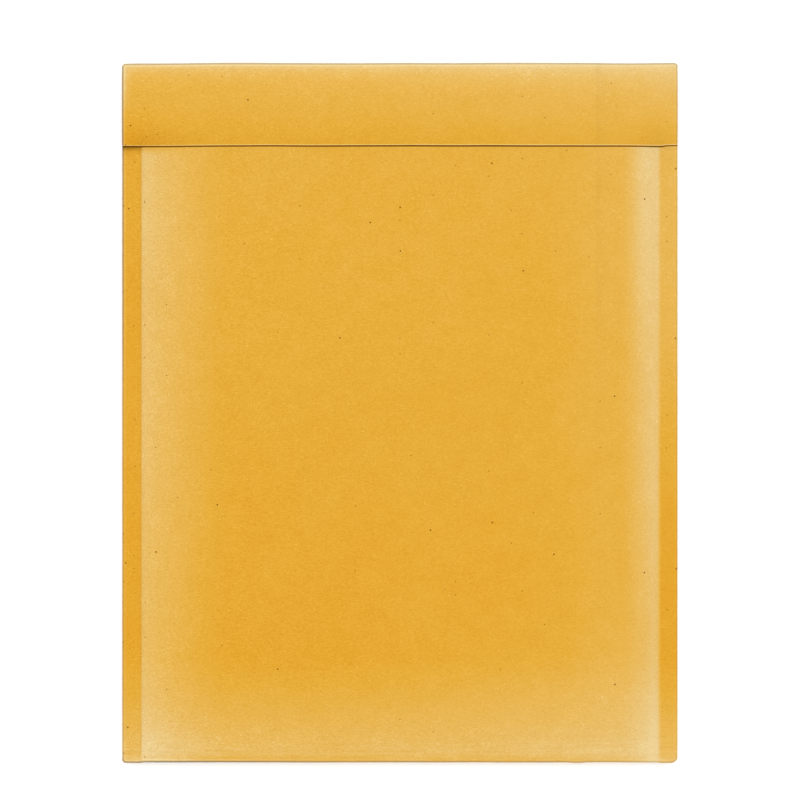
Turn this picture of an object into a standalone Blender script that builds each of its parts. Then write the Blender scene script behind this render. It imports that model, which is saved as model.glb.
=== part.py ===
"""Padded envelope: a folded kraft sheet, its folded bubble lining, and the flap's glue line with its release liner.

The envelope lies on its back. X runs across it, +Y points to the flap's fold, and Z goes up from the
surface that it lies on. The origin is in the middle of the outline, on that surface. Metres.

A height below is a function of x and y, so every layer follows the one beside it.
"""

import bmesh
import bpy
import numpy as np

# Outline, seen from the front
WIDTH = 0.2000
LENGTH = 0.2523
FLAP_DEPTH = 0.0298
MOUTH_SETBACK = 0.0080
LEFT_SEAM = 0.0069
RIGHT_SEAM = 0.0064
TOP_CORNER = 0.0011
LEFT_CORNER = 0.0016
RIGHT_CORNER = 0.0029

# Layers
PAPER = 0.0003
GAP = 0.0003
FILM = 0.0002
BUBBLE_HEIGHT = 0.0030
POCKET_GAP = 0.0005
ADHESIVE = 0.0002
LINER = 0.00015

# Heights above the surface that the envelope lies on, and heights of its folds
SEAM_HEIGHT = 0.0032
BOTTOM_FOLD_HEIGHT = 0.0034
TOP_FOLD_HEIGHT = 0.0056
FLAP_EDGE_CLEARANCE = 0.0006
FLAP_LEFT_LIFT = 0.0022
FLAP_RIGHT_LIFT = 0.0006

# How far the padding takes to rise to its full height, inwards from each edge
LEFT_SLOPE = 0.0300
RIGHT_SLOPE = 0.0140
BOTTOM_SLOPE = 0.0280
TOP_SLOPE = 0.0105
BACK_SLOPE = 0.0160
FLAP_LEFT_SLOPE = 0.0250
FLAP_RIGHT_SLOPE = 0.0200

# Lining
BUBBLE_PITCH = 0.0128
BUBBLE_TOP = 0.0072
LINING_MOUTH_SETBACK = 0.0010

# Glue line and its release liner, measured from the flap's free edge
STRIP_SETBACK = 0.0075
STRIP_WIDTH = 0.0120
STRIP_END_SETBACK = 0.0060
LINER_OVERHANG = 0.0010

# How finely the curved sheets are divided. The fold's steps are even, so that a row runs along its tip.
CORNER_STEPS = 2
FOLD_STEPS = 6
SLOPE_STEPS = 6
FLAT_STEPS = 4
MOUTH_STEPS = 3
FLAP_STEPS = 8
STRIP_STEPS = 4
STRIP_COLUMNS = 24
SLOPE_GRADING = 1.3
SEARCH_STEPS = 4000
WELD = 1e-6
SHARP_ANGLE = np.radians(35)

HALF_WIDTH = WIDTH / 2
HALF_LENGTH = LENGTH / 2
LEFT_LINE = LEFT_SEAM - HALF_WIDTH
RIGHT_LINE = HALF_WIDTH - RIGHT_SEAM
MOUTH = HALF_LENGTH - MOUTH_SETBACK
FLAP_EDGE = HALF_LENGTH - FLAP_DEPTH

BODY_HEIGHT = 2 * (PAPER + GAP + BUBBLE_HEIGHT) + POCKET_GAP
FLAP_CLEARANCE = 3 * GAP + ADHESIVE + LINER
FRONT_RISE = BODY_HEIGHT - PAPER - SEAM_HEIGHT
BACK_DROP = SEAM_HEIGHT - PAPER
PADDING = FRONT_RISE + BACK_DROP
BOTTOM_SHARE = (BOTTOM_FOLD_HEIGHT - 2 * PAPER) / PADDING
TOP_SHARE = (TOP_FOLD_HEIGHT - 3 * PAPER - FLAP_CLEARANCE) / PADDING


def rise(distance, reach):
    """A parabola from 0 at no distance to 1 at the reach, where it is level."""
    share = np.clip(distance / reach, 0, 1)
    return 1 - (1 - share) ** 2


def raised(floor, share):
    """A share that starts from a floor above 0 and still ends at 1."""
    return floor + (1 - floor) * share


def body_sides(x, left_reach, right_reach):
    """How full the padding is across the envelope: 0 on the seam strips, 1 in the middle."""
    return rise(x - LEFT_LINE, left_reach) * rise(RIGHT_LINE - x, right_reach)


def front_sides(x):
    return body_sides(x, LEFT_SLOPE, RIGHT_SLOPE)


def back_sides(x):
    return body_sides(x, BACK_SLOPE, BACK_SLOPE)


def flap_sides(x):
    """The flap is a stiff single sheet, so it bridges the seam strips and dips less than the front."""
    left = raised(FLAP_LEFT_LIFT / FRONT_RISE, rise(x + HALF_WIDTH, FLAP_LEFT_SLOPE))
    right = raised(FLAP_RIGHT_LIFT / FRONT_RISE, rise(HALF_WIDTH - x, FLAP_RIGHT_SLOPE))
    return np.maximum(left * right, front_sides(x))


def corner_lift(x, left_radius, right_radius):
    """How far a round corner holds the outline back from the straight end, at each x."""
    lift = np.zeros_like(x)
    for radius, distance in ((left_radius, x + HALF_WIDTH), (right_radius, HALF_WIDTH - x)):
        inside = np.clip(radius - distance, 0, radius)
        lift = lift + radius - np.sqrt(radius**2 - inside**2)
    return lift


def bottom_radius(x):
    """The bottom fold's radius, to the middle of the paper."""
    return (PAPER + BOTTOM_SHARE * (FRONT_RISE * front_sides(x) + BACK_DROP * back_sides(x))) / 2


def top_radius(x):
    """The flap fold's radius, to the middle of the paper."""
    padding = TOP_SHARE * (FRONT_RISE * flap_sides(x) + BACK_DROP * back_sides(x))
    return (2 * PAPER + FLAP_CLEARANCE + padding) / 2


def bottom_end(x):
    """Where the panels run into the bottom fold."""
    lift = corner_lift(x, LEFT_CORNER, RIGHT_CORNER)
    return lift + PAPER / 2 + bottom_radius(x) - HALF_LENGTH


def top_end(x):
    """Where the back panel and the flap run into the flap's fold."""
    lift = corner_lift(x, TOP_CORNER, TOP_CORNER)
    return HALF_LENGTH - lift - PAPER / 2 - top_radius(x)


def ends(x, y, bottom_reach, top_reach):
    """How full the padding is along the envelope: 1 in the middle and less towards the two folds."""
    lower = raised(BOTTOM_SHARE, rise(y - bottom_end(x), bottom_reach))
    upper = raised(TOP_SHARE, rise(top_end(x) - y, top_reach))
    return lower * upper


def front_height(x, y):
    full = front_sides(x) * ends(x, y, BOTTOM_SLOPE, TOP_SLOPE)
    return SEAM_HEIGHT + PAPER / 2 + FRONT_RISE * full


def back_height(x, y):
    full = back_sides(x) * ends(x, y, BACK_SLOPE, BACK_SLOPE)
    return SEAM_HEIGHT - PAPER / 2 - BACK_DROP * full


def flap_clearance(y):
    """The room under the flap: little at its free edge, and enough for the glue line further in."""
    share = rise(y - FLAP_EDGE, STRIP_SETBACK - LINER_OVERHANG)
    return FLAP_EDGE_CLEARANCE + (FLAP_CLEARANCE - FLAP_EDGE_CLEARANCE) * share


def flap_height(x, y):
    full = flap_sides(x) * ends(x, y, BOTTOM_SLOPE, TOP_SLOPE)
    return SEAM_HEIGHT + PAPER / 2 + FRONT_RISE * full + PAPER + flap_clearance(y)


def points(x, y, z):
    """A grid of points, with a row for each place along the sheet and a column for each x."""
    return np.stack(np.broadcast_arrays(x, y, z), axis=-1)


def between(start, end, share):
    return start + (end - start) * share[:, None]


def panel(x, start, end, share, height):
    """A stretch of sheet whose rows run evenly from one line across the envelope to another."""
    y = between(start, end, share)
    return points(x, y, height(x, y))


def fold(x, centre, radius, upper, lower, side, angles):
    """A half round fold. Its angle is -90 degrees at the lower sheet and 90 degrees at the upper one."""
    turn = angles[:, None]
    y = centre + side * radius * np.cos(turn)
    z = (upper + lower) / 2 + radius * np.sin(turn)
    return points(x, y, z)


def bottom_fold(x, angles):
    y = bottom_end(x)
    return fold(x, y, bottom_radius(x), front_height(x, y), back_height(x, y), -1, angles)


def top_fold(x, angles):
    y = top_end(x)
    return fold(x, y, top_radius(x), flap_height(x, y), back_height(x, y), 1, angles)


def unit(vectors):
    length = np.linalg.norm(vectors, axis=-1, keepdims=True)
    return vectors / np.maximum(length, 1e-12)


def directions(grid, axis):
    """The mean direction of the grid lines that meet at each point, along one axis of the grid."""
    steps = unit(np.diff(grid, axis=axis))
    pads = [(0, 0)] * 3
    pads[axis] = (1, 1)
    steps = np.pad(steps, pads, mode="edge")
    before = np.delete(steps, -1, axis=axis)
    after = np.delete(steps, 0, axis=axis)
    return unit(before + after)


def offset(grid, distance):
    """The grid moved along its own normals, outwards where the distance is positive."""
    normals = unit(np.cross(directions(grid, 1), directions(grid, 0)))
    return grid + normals * distance


def graded(start, reach):
    """Places along a slope from start to start + reach, closer together near the start."""
    return start + reach * np.linspace(0, 1, SLOPE_STEPS + 1) ** SLOPE_GRADING


def paper_columns():
    """The x of each grid line of the paper, and the positions of the two seam lines among them."""
    turns = np.linspace(0, np.pi / 2, CORNER_STEPS + 1)
    left_corner = LEFT_CORNER * (1 - np.cos(turns)) - HALF_WIDTH
    right_corner = HALF_WIDTH - RIGHT_CORNER * (1 - np.cos(turns[::-1]))
    left_slope = graded(LEFT_LINE, LEFT_SLOPE)
    right_slope = graded(RIGHT_LINE, -RIGHT_SLOPE)[::-1]
    flat = np.linspace(left_slope[-1], right_slope[0], FLAT_STEPS + 1)[1:-1]
    x = np.concatenate([left_corner, left_slope, flat, right_slope, right_corner])
    return x, len(left_corner), len(x) - len(right_corner) - 1


def body_length():
    """From the bottom fold to the mouth, in the middle of the envelope."""
    return MOUTH - bottom_end(np.zeros(1))[0]


def body_shares():
    """Places along the body, from 0 at the bottom fold to 1 at the mouth, closer where it slopes."""
    length = body_length()
    bottom = graded(0, BOTTOM_SLOPE)
    top = np.linspace(length - TOP_SLOPE, length, MOUTH_STEPS + 1)
    flat = np.linspace(bottom[-1], top[0], FLAT_STEPS + 1)[1:-1]
    return np.concatenate([bottom, flat, top]) / length


def fold_angles():
    """The angles of a fold's rows, without its two ends, from the lower sheet to the upper one."""
    return np.linspace(-np.pi / 2, np.pi / 2, FOLD_STEPS + 1)[1:-1]


def body_strip(x, shares, angles):
    """The middle of the paper from the mouth down the back, round the bottom fold and up the front."""
    bottom = bottom_end(x)
    return [
        panel(x, bottom, MOUTH, shares[::-1], back_height),
        bottom_fold(x, angles),
        panel(x, bottom, MOUTH, shares, front_height),
    ]


def material(name, colour, roughness, transmission=0.0):
    found = bpy.data.materials.new(name)
    found.use_nodes = True
    shader = found.node_tree.nodes["Principled BSDF"]
    shader.inputs["Base Color"].default_value = (*colour, 1)
    shader.inputs["Roughness"].default_value = roughness
    shader.inputs["Metallic"].default_value = 0
    shader.inputs["Transmission Weight"].default_value = transmission
    return found


def solid(name, vertices, faces, surface):
    """A closed body: points without a face go, points that coincide are welded, and faces turn outwards."""
    mesh = bpy.data.meshes.new(name)
    mesh.from_pydata(vertices, [], faces)
    body = bmesh.new()
    body.from_mesh(mesh)
    loose = [vertex for vertex in body.verts if not vertex.link_faces]
    bmesh.ops.delete(body, geom=loose, context="VERTS")
    bmesh.ops.remove_doubles(body, verts=body.verts, dist=WELD)
    bmesh.ops.recalc_face_normals(body, faces=body.faces)
    body.to_mesh(mesh)
    body.free()
    mesh.shade_smooth()
    mesh.set_sharp_from_angle(angle=SHARP_ANGLE)
    mesh.materials.append(surface)
    made = bpy.data.objects.new(name, mesh)
    bpy.context.collection.objects.link(made)
    return made


def quads(index, rows, columns):
    """The four-sided faces of a stretch of a grid of vertex numbers."""
    return [
        (index[j, i], index[j, i + 1], index[j + 1, i + 1], index[j + 1, i])
        for j in rows
        for i in columns
    ]


def ribbon(first, second):
    """The faces between two rows of vertex numbers."""
    return quads(np.array([first, second]), range(1), range(len(first) - 1))


def rim(first, second):
    """The faces that join two grids of vertex numbers all round their edges."""
    faces = []
    for edge in ((0, slice(None)), (-1, slice(None)), (slice(None), 0), (slice(None), -1)):
        faces += ribbon(first[edge], second[edge])
    return faces


def numbered(grid, first=0):
    """A number for each point of a grid, counted row by row."""
    rows, columns = grid.shape[:2]
    return np.arange(first, first + rows * columns).reshape(rows, columns)


def sheet(name, upper, lower, surface):
    """A thin closed body between two grids of the same size."""
    rows, columns = upper.shape[:2]
    top = numbered(upper)
    under = numbered(lower, top.size)
    faces = quads(top, range(rows - 1), range(columns - 1))
    faces += quads(under, range(rows - 1), range(columns - 1))
    faces += rim(top, under)
    vertices = np.concatenate([upper.reshape(-1, 3), lower.reshape(-1, 3)])
    return solid(name, vertices, faces, surface)


def paper_surfaces(stretches, mouth_row, seams, fold_rows):
    """The outside and the inside of the paper, each as one grid.

    Below the mouth the inside of the back and of the front meet along the seam lines, in the middle of
    the glued strips. The cut edges at the sides stay straight up and down.
    """
    middle = np.concatenate(stretches)
    outside = offset(middle, PAPER / 2)
    inside = offset(middle, -PAPER / 2)
    for seam in seams:
        line = middle[mouth_row:, seam].copy()
        line[fold_rows, 1] = bottom_end(line[0, 0])
        line[:, 2] = SEAM_HEIGHT
        inside[mouth_row:, seam] = line
    for edge in (0, -1):
        outside[:, edge, 0] = middle[:, edge, 0]
        inside[:, edge, 0] = middle[:, edge, 0]
    return outside, inside


def cut_edge(outer, inner, mouth_row):
    """The faces of one long side: the flap's own edge, and below the mouth the glued strip's edge."""
    back = outer[mouth_row:]
    half = len(back) // 2 + 1
    front = back[::-1][:half]
    back = back[:half]
    faces = ribbon(outer[: mouth_row + 1], inner[: mouth_row + 1])
    faces.append((back[0], back[1], front[1], front[0], inner[mouth_row]))
    faces += ribbon(back[1:-1], front[1:-1])
    faces.append((back[-2], back[-1], front[-2]))
    return faces


def kraft_envelope():
    """One sheet: the flap, the flap's fold, the back, the bottom fold and the front, glued at the sides.

    The outside is a grid over the whole strip of paper. The inside is the same grid, but on the two
    seam strips below the mouth the panels are glued, so there is no inside there.
    """
    x, left, right = paper_columns()
    shares = body_shares()
    angles = fold_angles()
    flap = [
        panel(x, FLAP_EDGE, top_end(x), np.linspace(0, 1, FLAP_STEPS + 1), flap_height),
        top_fold(x, angles[::-1]),
        panel(x, MOUTH, top_end(x), np.linspace(1, 0, MOUTH_STEPS + 1)[:-1], back_height),
    ]
    mouth_row = sum(len(stretch) for stretch in flap)
    fold_rows = slice(len(shares), len(shares) + len(angles))
    stretches = flap + body_strip(x, shares, angles)
    outside, inside = paper_surfaces(stretches, mouth_row, (left, right), fold_rows)

    outer = numbered(outside)
    inner = numbered(inside, outer.size)
    rows = range(len(outer) - 1)
    columns = range(len(x) - 1)
    glued = [i for i in columns if i < left or i >= right]
    faces = quads(outer, rows, columns)
    faces += quads(inner, rows[:mouth_row], columns)
    faces += quads(inner, rows[mouth_row:], columns[left:right])
    faces += ribbon(outer[0], inner[0])
    faces += ribbon(outer[-1, left : right + 1], inner[-1, left : right + 1])
    faces += quads(np.array([outer[-1], inner[mouth_row]]), range(1), glued)
    for edge in (0, -1):
        faces += cut_edge(outer[:, edge], inner[:, edge], mouth_row)
    vertices = np.concatenate([outside.reshape(-1, 3), inside.reshape(-1, 3)])
    surface = material("kraft_paper", (0.79, 0.41, 0.045), 0.78)
    return solid("kraft_envelope", vertices, faces, surface)


def lining_sides():
    """The lining reaches out to where the bottom fold just holds its two layers of film."""
    room = PAPER / 2 + GAP + FILM + POCKET_GAP / 2
    x = np.linspace(LEFT_LINE, RIGHT_LINE, SEARCH_STEPS)
    held = x[bottom_radius(x) >= room]
    return held[0], held[-1]


def bubble(corners, side):
    """The top of the bubble in one cell of the film: a smaller cell, half the pocket gap from the middle.

    The corners are those of the cell, counted round it. The side is -1 on the back half and 1 on the
    front half.
    """
    shoulder = (1 - BUBBLE_TOP / BUBBLE_PITCH) / 2
    centre = corners.mean(axis=0)
    top = centre + (corners - centre) * (1 - 2 * shoulder)
    x, y = top[:, 0], top[:, 1]
    top[:, 2] = (front_height(x, y) + back_height(x, y) + side * POCKET_GAP) / 2
    return top


def bubble_lining():
    """Bubble film folded at the bottom: its flat side lies on the paper and its bubbles face the pocket.

    The film is a grid whose lines run between the bubbles. In each cell of the two halves a bubble
    stands up as a short pyramid with a flat top, and round the bottom fold the film is plain.
    """
    start, stop = lining_sides()
    x = np.linspace(start, stop, round((stop - start) / BUBBLE_PITCH) + 1)
    length = body_length()
    reach = length - LINING_MOUTH_SETBACK
    bubble_rows = round(reach / BUBBLE_PITCH)
    shares = np.linspace(0, reach / length, bubble_rows + 1)
    middle = np.concatenate(body_strip(x, shares, fold_angles()))
    flat = offset(middle, -PAPER / 2 - GAP)
    valleys = offset(middle, -PAPER / 2 - GAP - FILM)

    outer = numbered(flat)
    inner = numbered(valleys, outer.size)
    rows = range(len(outer) - 1)
    columns = range(len(x) - 1)
    faces = quads(outer, rows, columns)
    faces += quads(inner, rows[bubble_rows:-bubble_rows], columns)
    faces += rim(outer, inner)

    tops = []
    ground = np.concatenate([flat.reshape(-1, 3), valleys.reshape(-1, 3)])
    for side, cells in ((-1, rows[:bubble_rows]), (1, rows[-bubble_rows:])):
        for base in quads(inner, cells, columns):
            first = len(ground) + 4 * len(tops)
            tops.append(bubble(ground[list(base)], side))
            top = tuple(range(first, first + 4))
            faces.append(top)
            faces += [(base[k - 1], base[k], top[k], top[k - 1]) for k in range(4)]
    surface = material("bubble_film", (0.86, 0.89, 0.91), 0.25, 0.6)
    return solid("bubble_lining", np.concatenate([ground, *tops]), faces, surface)


def flap_layer(name, drop, thickness, overhang, surface):
    """A thin strip under the flap: its upper face lies a drop below the middle of the flap's paper."""
    half_length = HALF_WIDTH - STRIP_END_SETBACK + overhang
    x = np.linspace(-half_length, half_length, STRIP_COLUMNS + 1)
    low = FLAP_EDGE + STRIP_SETBACK - overhang
    high = FLAP_EDGE + STRIP_SETBACK + STRIP_WIDTH + overhang
    y = np.linspace(low, high, STRIP_STEPS + 1)[:, None]
    z = flap_height(x, y) - drop
    return sheet(name, points(x, y, z), points(x, y, z - thickness), surface)


def adhesive_strip():
    surface = material("clear_adhesive", (0.90, 0.88, 0.80), 0.18, 0.4)
    return flap_layer("adhesive_strip", PAPER / 2 + GAP, ADHESIVE, 0, surface)


def release_liner():
    surface = material("release_paper", (0.93, 0.93, 0.91), 0.35)
    drop = PAPER / 2 + GAP + ADHESIVE + GAP
    return flap_layer("release_liner", drop, LINER, LINER_OVERHANG, surface)


def main():
    for old in list(bpy.data.objects):
        bpy.data.objects.remove(old)
    kraft_envelope()
    bubble_lining()
    adhesive_strip()
    release_liner()


main()
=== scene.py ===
"""Padded envelope, dressed: kraft paper, bubble film, the flap's two strips, floor, light and camera.

The envelope lies on its back. X runs across it, +Y points to the flap's fold and Z goes up from the floor.
The origin is in the middle of the outline, on the floor. Metres.
"""

import bmesh
import bpy
import numpy as np
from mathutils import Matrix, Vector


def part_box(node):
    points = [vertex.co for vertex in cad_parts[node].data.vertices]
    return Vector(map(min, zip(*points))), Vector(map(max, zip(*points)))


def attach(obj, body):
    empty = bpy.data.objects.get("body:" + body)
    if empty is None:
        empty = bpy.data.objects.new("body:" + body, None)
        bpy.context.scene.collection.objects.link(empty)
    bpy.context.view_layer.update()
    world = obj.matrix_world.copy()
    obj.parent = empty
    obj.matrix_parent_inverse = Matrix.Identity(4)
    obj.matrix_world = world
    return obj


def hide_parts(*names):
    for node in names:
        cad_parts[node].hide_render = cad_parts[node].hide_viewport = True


bl_info = {
    "name": "Padded Envelope",
    "version": (1, 0, 0),
    "blender": (4, 5, 0),
    "location": "View3D > Sidebar > Envelope",
    "description": "A kraft envelope lined with bubble film, with its floor, light and camera",
    "category": "Add Mesh",
}

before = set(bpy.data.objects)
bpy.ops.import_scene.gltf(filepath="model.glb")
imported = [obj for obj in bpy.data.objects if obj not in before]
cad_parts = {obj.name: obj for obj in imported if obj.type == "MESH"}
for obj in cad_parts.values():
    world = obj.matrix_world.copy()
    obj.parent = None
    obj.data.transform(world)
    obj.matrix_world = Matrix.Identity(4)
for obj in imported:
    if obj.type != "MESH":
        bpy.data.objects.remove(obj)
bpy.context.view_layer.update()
PAPER_LOW, PAPER_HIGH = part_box("kraft_envelope")
LINING_LOW, LINING_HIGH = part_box("bubble_lining")

MM = 0.001

# How finely the sheets are divided
CORNER_STEPS = 6
FOLD_STEPS = 24
BUBBLE_STEPS = 8
COLUMN_SPACING = (0.25 * MM, 0.30, 2.4 * MM)
BODY_SPACING = (0.25 * MM, 0.25, 2.8 * MM)
FLAP_SPACING = (0.20 * MM, 0.25, 2.4 * MM)
SPACING_SAMPLES = 2000
WELD = 0.001 * MM
SHARP_ANGLE = np.radians(40)

# Where the four kraft colours stand on the tone scale, from the deepest at 0 to the palest at 1
# The paler stops mostly serve painted highlights, where the padding slopes down to seams and folds
TONE_STOPS = (0.0, 0.19, 0.5, 1.0)


def amount(name, description, default, **kind):
    return bpy.props.FloatProperty(name=name, description=description, default=default, **kind)


def length(name, description, default):
    return amount(name, description, default, min=0, precision=5, unit="LENGTH")


def colour(name, description, default):
    return bpy.props.FloatVectorProperty(
        name=name, description=description, default=default, size=3, min=0, max=1, subtype="COLOR"
    )


def share(name, description, default):
    return amount(name, description, default, min=0, max=1, subtype="FACTOR")


def degrees(name, description, default):
    return amount(name, description, np.radians(default), subtype="ANGLE")


class EnvelopeSizes(bpy.types.PropertyGroup):
    """The sizes of the paper and of the padding in it."""

    width: length("Width", "Across the envelope", PAPER_HIGH.x - PAPER_LOW.x)
    long_side: length("Length", "From the bottom fold to the flap's fold", PAPER_HIGH.y - PAPER_LOW.y)
    flap_depth: length("Flap depth", "From the flap's fold to its free edge", 29.85 * MM)
    mouth_setback: length("Mouth setback", "From the flap's fold to the mouth", 8 * MM)
    left_seam: length("Left seam", "Width of the glued strip on the left", 6.9 * MM)
    right_seam: length("Right seam", "Width of the glued strip on the right", 6.4 * MM)
    top_corner: length("Top corners", "Radius of the two corners at the flap's fold", 1.4 * MM)
    left_corner: length("Left corner", "Radius of the bottom left corner", 1.3 * MM)
    right_corner: length("Right corner", "Radius of the bottom right corner", 2.4 * MM)
    paper: length("Paper", "Thickness of the paper", 0.3 * MM)
    seam_height: length("Seam height", "Middle of the glued strips above the floor", 3.2 * MM)
    body_height: length("Body height", "Thickness of the padded body", 7.7 * MM)
    bottom_fold: length("Bottom fold", "Height of the bottom fold", 3.4 * MM)
    top_fold: length("Flap's fold", "Height of the flap's fold", 5.6 * MM)
    flap_room: length("Room under the flap", "Between flap and body where the glue line is", 1.25 * MM)
    edge_room: length("Room under the free edge", "Between flap and body at the free edge", 0.22 * MM)
    edge_wander: length("Edge wander", "How far the outline wanders from a straight line", 0.2 * MM)
    bottom_tuck: length("Bottom tuck", "How far the padding draws the bottom fold in", 0.19 * MM)
    cockle: length("Cockle", "Height of the low waves in the paper", 0.09 * MM)
    strip_flutter: length("Strip flutter", "How far the glued strips' edges wave up and down", 0.25 * MM)
    crease: length("Crease", "Place of the faint long crease, right of the middle", 70.5 * MM)
    film: length("Film", "Thickness of the bubble film", 0.2 * MM)
    gap: length("Gap", "Between the film and the paper", 0.3 * MM)
    pocket: length("Pocket", "Between the bubbles of the two halves", 0.5 * MM)
    pitch: length("Bubble pitch", "From one bubble to the next", 12.8 * MM)


class EnvelopeFinish(bpy.types.PropertyGroup):
    """The colours of the finishes."""

    # Light and pale gold mostly serve painted highlights where the padding slopes; deep gold also painted
    # shade
    deep: colour("Deep gold", "Kraft paper at its deepest", (0.489, 0.226, 0.011))
    gold: colour("Gold", "Kraft paper over the padding", (0.496, 0.262, 0.025))
    light: colour("Light gold", "Kraft paper where it slopes to a seam", (0.510, 0.306, 0.067))
    pale: colour("Pale gold", "Kraft paper at its palest", (0.531, 0.399, 0.185))
    # Painted shade along the outline and beside the left seam
    painted_edge_shade: colour("Edge shade", "The thin greyed line along the outline", (0.168, 0.146, 0.106))
    # Brown also paints the shadow line under the flap's free edge
    brown: colour("Brown", "Dark fibres, and the line under the flap's edge", (0.120, 0.046, 0.000))
    film: colour("Film", "Bubble film", (0.86, 0.89, 0.91))
    adhesive: colour("Adhesive", "The glue line under the flap", (0.90, 0.88, 0.80))
    liner: colour("Liner", "The coated paper over the glue line", (0.93, 0.93, 0.91))
    floor: colour("Floor", "The pale floor", (0.95, 0.95, 0.95))
    grain: share("Grain", "How much the paper's grain shows", 0.5)
    fill: share("Fill", "How tightly the bubbles are filled", 0.85)


class EnvelopeStage(bpy.types.PropertyGroup):
    """The floor, the light and the camera."""

    floor_size: length("Floor", "Side of the square floor", 8.0)
    lens: amount("Lens", "Focal length", 400, unit="CAMERA")
    view_width: length("View width", "Width of the picture at the seams' height", 288.2 * MM)
    view_right: length("View right", "Middle of the picture, right of the envelope's", 0.05 * MM)
    view_up: length("View up", "Middle of the picture, above the envelope's", 4.60 * MM)
    sky: amount("Sky", "Strength of the even light", 1.42, min=0)
    sun: amount("Lamp", "Strength of the soft lamp", 0.77, min=0)
    sun_spread: degrees("Lamp spread", "Angle that the lamp fills", 14)
    sun_tilt: degrees("Lamp tilt", "Angle from straight above", 35)
    sun_turn: degrees("Lamp turn", "Angle from +Y towards -X", 14)


# Curves of one variable


def rise(distance, reach):
    """A parabola from 0 at no distance to 1 at the reach, where it is level."""
    return 1 - (1 - np.clip(distance / reach, 0, 1)) ** 2


def ease(distance, reach):
    """An S-curve from 0 at no distance to 1 at the reach: 3 t squared less 2 t cubed."""
    t = np.clip(distance / reach, 0, 1)
    return t * t * (3 - 2 * t)


def fade(distance, reach):
    """A bell's half: 1 at no distance, falling as e to the minus square of distance over reach."""
    return np.exp(-((distance / reach) ** 2))


def toed(distance, toe):
    """A distance that starts gently: its square over itself plus the toe, so it ends a toe short."""
    inside = np.maximum(distance, 0)
    return inside**2 / (inside + toe)


def raised(floor, part):
    """A share that starts from a floor above 0 and still ends at 1."""
    return floor + (1 - floor) * part


def wander(place, wavelength, phase):
    """An irregular wave between about -1 and 1: three sines, with lengths that don't divide each other."""
    turn = 2 * np.pi * place / wavelength + phase
    return (np.sin(turn) + 0.6 * np.sin(1.71 * turn + 1.3) + 0.4 * np.sin(2.93 * turn + 4.1)) / 1.7


def cockled(x, y, wavelength, phase):
    """Low hills and hollows: the product of two irregular waves that cross at a slant."""
    return wander(x + 0.35 * y, wavelength, phase) * wander(y - 0.28 * x, 1.3 * wavelength, 2 * phase)


def graded_lines(breaks, spacing):
    """Places through every break, close together beside a break and further apart away from it.

    The spacing is a fine one plus a growth times the distance to the nearer break, up to a coarse one.
    Places stand where the running sum of one over the spacing passes even steps.
    """
    fine, growth, coarse = spacing
    lines = [breaks[:1]]
    for start, stop in zip(breaks[:-1], breaks[1:]):
        place = np.linspace(start, stop, SPACING_SAMPLES)
        step = np.minimum(fine + growth * np.minimum(place - start, stop - place), coarse)
        passed = np.concatenate([[0], np.cumsum(np.diff(place) / step[1:])])
        count = int(np.ceil(passed[-1]))
        lines.append(np.interp(np.linspace(0, passed[-1], count + 1)[1:], passed, place))
    return np.concatenate(lines)


def graded_parts(breaks, spacing):
    """The same places as shares of the last break, in a column."""
    return graded_lines(np.array(breaks), spacing)[:, None] / breaks[-1]


# Grids of points


def points(x, y, z):
    """A grid of points, with a row for each place along the sheet and a column for each x."""
    return np.stack(np.broadcast_arrays(x, y, z), axis=-1)


def unit(vectors):
    """Each vector over its own length."""
    return vectors / np.maximum(np.linalg.norm(vectors, axis=-1, keepdims=True), 1e-12)


def directions(grid, axis):
    """The mean direction of the grid lines that meet at each point, along one axis of the grid."""
    steps = unit(np.diff(grid, axis=axis))
    pads = [(0, 0)] * 3
    pads[axis] = (1, 1)
    steps = np.pad(steps, pads, mode="edge")
    return unit(np.delete(steps, -1, axis=axis) + np.delete(steps, 0, axis=axis))


def offset(grid, distance):
    """The grid moved along its own normals, outwards where the distance is positive."""
    normals = unit(np.cross(directions(grid, 1), directions(grid, 0)))
    return grid + normals * distance


def numbered(grid, first=0):
    """A number for each point of a grid, counted row by row."""
    rows, columns = grid.shape[:2]
    return np.arange(first, first + rows * columns).reshape(rows, columns)


def quads(index):
    """The four-sided faces of a whole grid of point numbers."""
    corners = [index[:-1, :-1], index[:-1, 1:], index[1:, 1:], index[1:, :-1]]
    return np.stack(corners, axis=-1).reshape(-1, 4).tolist()


def ribbon(first, second):
    """The faces between two rows of point numbers."""
    return quads(np.array([first, second]))


def rim(first, second):
    """The faces that join two grids of point numbers all round their edges."""
    faces = []
    for edge in ((0, slice(None)), (-1, slice(None)), (slice(None), 0), (slice(None), -1)):
        faces += ribbon(first[edge], second[edge])
    return faces


def linked(name, data):
    """A new object in the scene's collection."""
    made = bpy.data.objects.new(name, data)
    bpy.context.collection.objects.link(made)
    return made


def closed_piece(name, grids, faces, finish, fields=None):
    """A closed body from grids of points. A field is a number for each point that the finish reads."""
    mesh = bpy.data.meshes.new(name)
    mesh.from_pydata(np.concatenate([grid.reshape(-1, 3) for grid in grids]), [], faces)
    for field, values in (fields or {}).items():
        kept = mesh.attributes.new(field, "FLOAT", "POINT")
        kept.data.foreach_set("value", np.concatenate([part.ravel() for part in values]).astype(np.float32))
    body = bmesh.new()
    body.from_mesh(mesh)
    bmesh.ops.delete(body, geom=[point for point in body.verts if not point.link_faces], context="VERTS")
    bmesh.ops.remove_doubles(body, verts=body.verts, dist=WELD)
    bmesh.ops.recalc_face_normals(body, faces=body.faces)
    body.to_mesh(mesh)
    body.free()
    mesh.shade_smooth()
    mesh.set_sharp_from_angle(angle=SHARP_ANGLE)
    mesh.materials.append(finish)
    return linked(name, mesh)


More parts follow.
